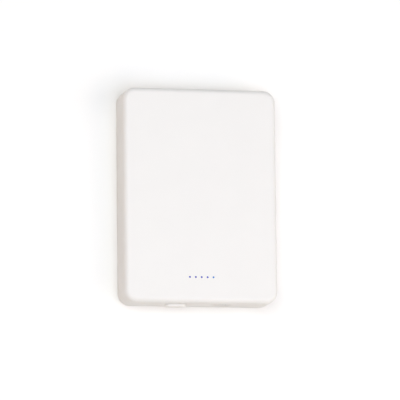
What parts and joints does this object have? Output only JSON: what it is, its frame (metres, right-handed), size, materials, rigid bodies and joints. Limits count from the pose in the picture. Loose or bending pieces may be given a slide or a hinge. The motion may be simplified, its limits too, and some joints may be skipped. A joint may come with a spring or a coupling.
{
  "type": "magnetic power bank",
  "caption": "Slim pocket power bank with rounded corners, a magnetic charging face, a row of small status lights, a pill-shaped button and a USB-C port.",
  "frame": {"origin": "centre of the flat charging face, which is also the centre of the magnet ring", "axes": "+Z out of the front face with the lights, so the part lies on its charging face; -Y towards the end with the button and the port; +X towards the port's side"},
  "size_m": [0.0688, 0.0963, 0.0165],
  "materials": {
    "shell_plastic": "fine matt moulded texture, off-white",
    "cover_plastic": "smooth matt, off-white",
    "grip_silicone": "soft matt silicone, pale grey",
    "button_plastic": "satin moulded, off-white",
    "nickel_magnet": "satin nickel plate",
    "yoke_steel": "rolled steel",
    "copper_wire": "enamelled stranded copper",
    "ferrite": "matt sintered",
    "shield_foil": "matt graphite-coated foil",
    "tray_plastic": "moulded, dark grey",
    "white_tape": "double-sided tape",
    "cell_foil": "soft embossed pouch foil",
    "black_foam": "open-cell foam",
    "tab_nickel": "bright rolled strip",
    "guard_mask": "green solder mask",
    "board_mask": "dark solder mask",
    "chip_epoxy": "moulded epoxy",
    "wire_red": "soft insulation, red",
    "wire_black": "soft insulation, black",
    "bead_epoxy": "dipped epoxy",
    "tinned_wire": "tinned",
    "amber_film": "thin amber film",
    "bright_steel": "bright zinc plate",
    "port_steel": "satin stainless",
    "port_plastic": "moulded, black",
    "contact_gold": "gold plate",
    "switch_plastic": "moulded, black",
    "plunger_plastic": "moulded, ivory",
    "led_resin": "clear resin, pale yellow",
    "baffle_plastic": "moulded, black",
    "light_blue": "tinted clear, deep blue",
    "light_pale_blue": "tinted clear, lighter blue",
    "inductor_ferrite": "matt sintered",
    "capacitor_ceramic": "fired ceramic, tinned ends",
    "bulk_resin": "moulded, ochre",
    "resistor_ceramic": "fired ceramic, tinned ends"
  },
  "bodies": {
    "case": {"front_shell": "shell_plastic", "rear_cover": "cover_plastic", "grip_ring": "grip_silicone", "magnet_ring": "nickel_magnet", "yoke_ring": "yoke_steel", "orientation_magnet": "nickel_magnet", "charge_coil": "copper_wire", "coil_leads": "copper_wire", "ferrite_disc": "ferrite", "shield_sheet": "shield_foil", "inner_tray": "tray_plastic", "tray_tape": "white_tape", "cell_rear": "cell_foil", "cell_front": "cell_foil", "cell_tape": "white_tape", "foam_pads": "black_foam", "cell_tabs": "tab_nickel", "protection_board": "guard_mask", "protection_chips": "chip_epoxy", "battery_wire_plus": "wire_red", "battery_wire_minus": "wire_black", "thermistor": "bead_epoxy", "thermistor_leads": "tinned_wire", "main_board": "board_mask", "board_film": "amber_film", "board_screws": "bright_steel", "usb_shell": "port_steel", "usb_insulator": "port_plastic", "usb_contacts": "contact_gold", "switch_housing": "switch_plastic", "switch_dome": "contact_gold", "switch_cover": "bright_steel", "light_chips": "led_resin", "light_baffle": "baffle_plastic", "charge_light_guides": "light_blue", "wireless_light_guide": "light_pale_blue", "power_inductors": "inductor_ferrite", "inductor_cores": "copper_wire", "controller_chips": "chip_epoxy", "power_transistors": "chip_epoxy", "resonance_capacitors": "capacitor_ceramic", "bulk_capacitors": "bulk_resin", "small_capacitors": "capacitor_ceramic", "sense_resistors": "resistor_ceramic", "crystal": "bright_steel"},
    "button": {"button_cap": "button_plastic"},
    "plunger": {"switch_plunger": "plunger_plastic"}
  },
  "joints": [
    {"name": "button_press", "type": "slide", "parent": "case", "child": "button", "axis": [0, 1, 0], "range_m": [0, 0.00025], "stiffness_N_per_m": 600, "springref_m": -0.0008},
    {"name": "plunger_press", "type": "slide", "parent": "case", "child": "plunger", "axis": [0, 1, 0], "range_m": [0, 0.00025], "deforming": ["switch_dome"]}
  ],
  "couplings": [
    {"joint": "plunger_press", "follows": "button_press", "ratio": 1}
  ]
}
